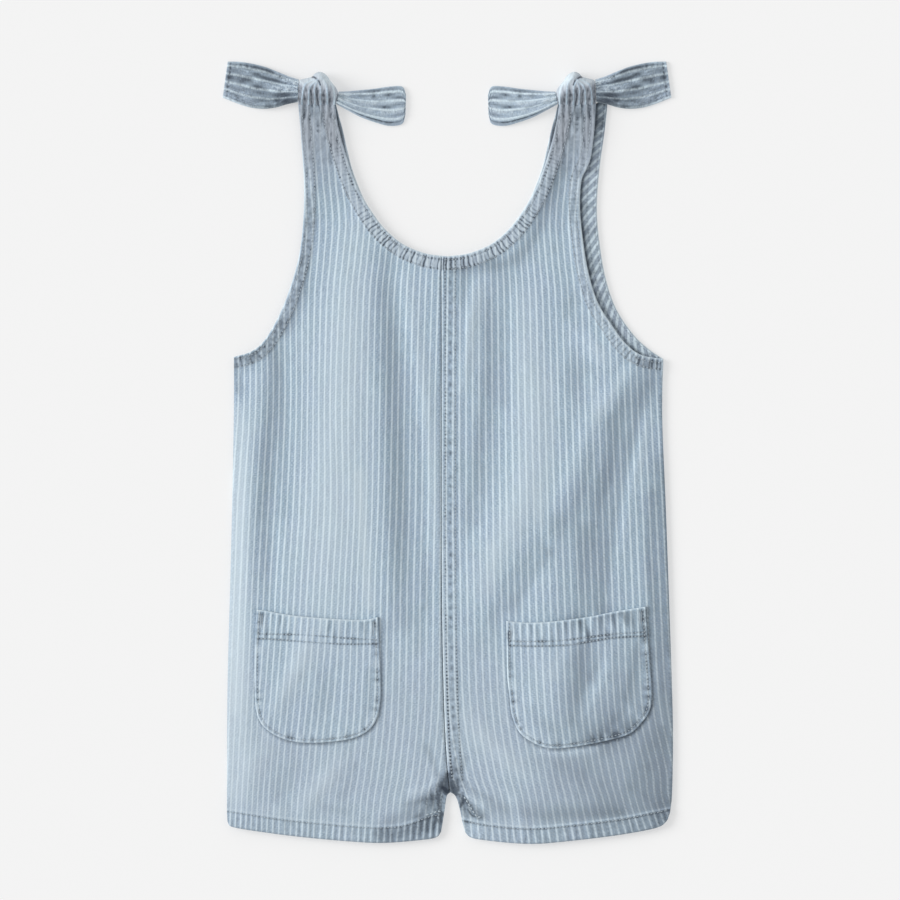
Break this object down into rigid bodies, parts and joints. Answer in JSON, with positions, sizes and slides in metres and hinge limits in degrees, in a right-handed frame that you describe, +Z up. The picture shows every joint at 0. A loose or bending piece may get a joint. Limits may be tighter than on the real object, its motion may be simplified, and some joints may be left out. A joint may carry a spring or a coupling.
{
  "type": "baby romper",
  "caption": "Sleeveless striped denim baby romper with tied bow shoulders, scooped neck, short legs and patch pockets, laid out flat with its front up.",
  "frame": {"origin": "on the surface that it lies on, under the middle of the garment's width and length", "axes": "+X to the viewer's right across the garment, +Y from the leg hems to the shoulder bows, +Z up out of the front"},
  "size_m": [0.2926, 0.5086, 0.0149],
  "materials": {
    "denim_face": "washed light blue denim with fine pale stripes along the garment",
    "denim_back": "washed light blue denim with fine pale stripes along the garment",
    "denim_bias": "washed light blue denim cut on the bias, its fine pale stripes slanting",
    "denim_tie": "washed light blue denim with fine pale stripes along the strip"
  },
  "bodies": {
    "root": {"front_left": "denim_face", "front_right": "denim_face", "pocket_left": "denim_face", "pocket_right": "denim_face", "back_left": "denim_back", "back_right": "denim_back", "armhole_facing_right": "denim_bias", "knot_left": "denim_tie", "knot_right": "denim_tie", "tie_left_outer": "denim_tie", "tie_left_inner": "denim_tie", "tie_right_outer": "denim_tie", "tie_right_inner": "denim_tie"}
  },
  "joints": []
}
